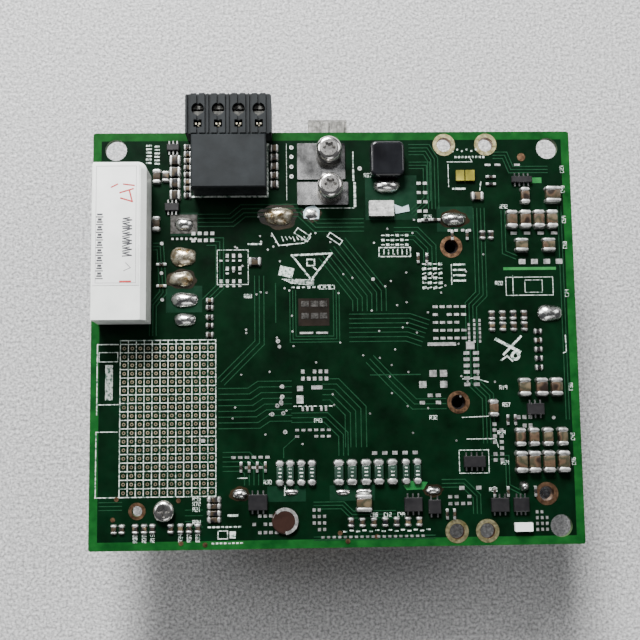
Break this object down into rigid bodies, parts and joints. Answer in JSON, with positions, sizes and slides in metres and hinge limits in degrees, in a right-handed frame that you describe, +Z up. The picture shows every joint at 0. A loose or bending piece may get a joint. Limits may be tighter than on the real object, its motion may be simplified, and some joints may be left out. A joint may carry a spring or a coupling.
{
  "type": "servo driver board",
  "caption": "Servo motor driver circuit board seen from its solder side, with a pluggable power connector, a white side header, screw terminals, and a heatsink and power parts underneath.",
  "frame": {"origin": "under the middle of the part's box, at the level of the fin tips that it stands on", "axes": "+X along the board's longer side, +Y towards the edge with the pluggable connector, +Z up out of the solder side"},
  "size_m": [0.116, 0.1068, 0.0382],
  "materials": {
    "aluminium": "brushed",
    "black_anodised": "black anodised",
    "black_epoxy": "moulded epoxy",
    "black_nylon": "satin moulded plastic",
    "ceramic_black": "glazed resistor film",
    "ceramic_green": "dark fired ceramic",
    "ceramic_tan": "fired ceramic",
    "contact_brass": "tinned brass",
    "copper_wire": "enamelled copper",
    "dark_steel": "oil-blackened",
    "ferrite": "matt ferrite",
    "film_grey": "moulded box",
    "glass": "clear tube",
    "label_paper": "matt coated paper",
    "pad_grey": "soft silicone",
    "relay_blue": "moulded cover",
    "rubber": "moulded bung",
    "solder": "bright solder",
    "solder_mask": "glossy solder mask over glass-fibre laminate",
    "stained_solder": "solder under brown flux",
    "steel": "bright zinc plated",
    "tinned_copper": "bright tinned sheet",
    "white_nylon": "satin moulded plastic",
    "yellow_tape": "polyester tape"
  },
  "bodies": {
    "root": {"bus_capacitor_bungs": "rubber", "bus_capacitor_cans": "aluminium", "capacitor_ends": "solder", "ceramic_capacitors": "ceramic_tan", "chip_resistor_ends": "solder", "chip_resistors": "ceramic_black", "choke_core": "ferrite", "choke_stand": "black_nylon", "choke_winding": "copper_wire", "circuit_board": "solder_mask", "control_socket": "black_nylon", "film_capacitor": "film_grey", "flux_stained_joints": "stained_solder", "fuse_caps": "steel", "fuse_clips": "contact_brass", "fuse_tube": "glass", "ground_pillar": "contact_brass", "ground_screw": "steel", "header_pins": "contact_brass", "heatsink": "black_anodised", "package_legs": "solder", "paper_label": "label_paper", "plug_header": "black_nylon", "power_diode": "black_epoxy", "power_diode_tab": "solder", "power_module": "black_epoxy", "power_module_pins": "contact_brass", "rear_boss": "aluminium", "relay_cover": "relay_blue", "round_slug": "stained_solder", "row_chip_ends": "solder", "row_chips": "ceramic_green", "small_packages": "black_epoxy", "solder_balls": "solder", "terminal_bar": "tinned_copper", "terminal_plates": "tinned_copper", "terminal_screws": "steel", "terminal_spacers": "steel", "thermal_pad": "pad_grey", "through_hole_leads": "contact_brass", "tin_solder_joints": "solder", "tinned_link": "tinned_copper", "transformer_bobbin": "black_nylon", "transformer_core": "ferrite", "transformer_foot": "black_nylon", "transformer_winding": "yellow_tape", "white_filter": "white_nylon", "white_header_housing": "white_nylon", "white_header_pins": "contact_brass"},
    "plug": {"plug_housing": "black_nylon", "plug_contacts": "contact_brass"},
    "clamp_screw_body_1": {"clamp_screw_1": "dark_steel"},
    "clamp_cage_body_1": {"clamp_cage_1": "dark_steel"},
    "clamp_screw_body_2": {"clamp_screw_2": "dark_steel"},
    "clamp_cage_body_2": {"clamp_cage_2": "dark_steel"},
    "clamp_screw_body_3": {"clamp_screw_3": "dark_steel"},
    "clamp_cage_body_3": {"clamp_cage_3": "dark_steel"},
    "clamp_screw_body_4": {"clamp_screw_4": "dark_steel"},
    "clamp_cage_body_4": {"clamp_cage_4": "dark_steel"}
  },
  "joints": [
    {"name": "plug_slide", "type": "slide", "parent": "root", "child": "plug", "axis": [0, 1, 0], "range_m": [0, 0.014]},
    {"name": "clamp_turn_1", "type": "hinge", "parent": "plug", "child": "clamp_screw_body_1", "pos_m": [-0.0321, 0.04958, 0.0336], "axis": [0, 0, -1], "range_deg": [0, 1081]},
    {"name": "cage_lift_1", "type": "slide", "parent": "plug", "child": "clamp_cage_body_1", "axis": [0, 0, 1], "range_m": [0, 0.0015]},
    {"name": "clamp_turn_2", "type": "hinge", "parent": "plug", "child": "clamp_screw_body_2", "pos_m": [-0.0273, 0.04958, 0.0336], "axis": [0, 0, -1], "range_deg": [0, 1081]},
    {"name": "cage_lift_2", "type": "slide", "parent": "plug", "child": "clamp_cage_body_2", "axis": [0, 0, 1], "range_m": [0, 0.0015]},
    {"name": "clamp_turn_3", "type": "hinge", "parent": "plug", "child": "clamp_screw_body_3", "pos_m": [-0.0225, 0.04958, 0.0336], "axis": [0, 0, -1], "range_deg": [0, 1081]},
    {"name": "cage_lift_3", "type": "slide", "parent": "plug", "child": "clamp_cage_body_3", "axis": [0, 0, 1], "range_m": [0, 0.0015]},
    {"name": "clamp_turn_4", "type": "hinge", "parent": "plug", "child": "clamp_screw_body_4", "pos_m": [-0.0177, 0.04958, 0.0336], "axis": [0, 0, -1], "range_deg": [0, 1081]},
    {"name": "cage_lift_4", "type": "slide", "parent": "plug", "child": "clamp_cage_body_4", "axis": [0, 0, 1], "range_m": [0, 0.0015]}
  ],
  "couplings": [
    {"joint": "clamp_turn_1", "follows": "cage_lift_1", "rad_per_m": 12566},
    {"joint": "clamp_turn_2", "follows": "cage_lift_2", "rad_per_m": 12566},
    {"joint": "clamp_turn_3", "follows": "cage_lift_3", "rad_per_m": 12566},
    {"joint": "clamp_turn_4", "follows": "cage_lift_4", "rad_per_m": 12566}
  ]
}
